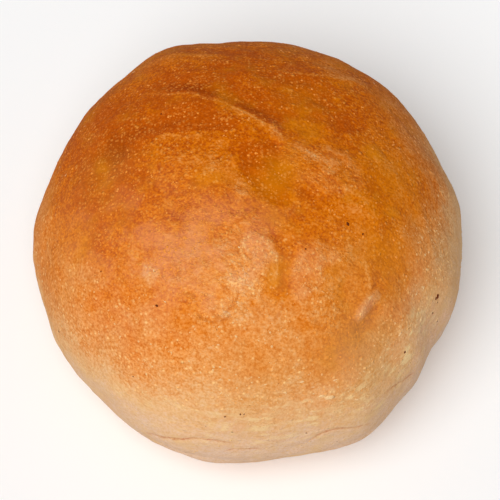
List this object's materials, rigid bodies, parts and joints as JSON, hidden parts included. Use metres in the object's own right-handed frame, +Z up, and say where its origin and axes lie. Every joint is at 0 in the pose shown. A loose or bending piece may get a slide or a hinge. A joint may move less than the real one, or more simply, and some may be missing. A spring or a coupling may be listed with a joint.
{
  "type": "bread roll",
  "caption": "Plain round bread roll with a full dome, a thin softly wrinkled golden-brown crust and a flat baked foot to stand on.",
  "frame": {"origin": "middle of the roll's foot, on the surface that it stands on", "axes": "+Z up from the foot to the top of the dome, +X the roll's right side, +Y its back as it lies in front of a viewer"},
  "size_m": [0.0932, 0.094, 0.0604],
  "materials": {
    "crust": "thin baked crust with a low satin sheen, brown on top and paler round the lower side"
  },
  "bodies": {
    "root": {"bread_roll": "crust"}
  },
  "joints": []
}
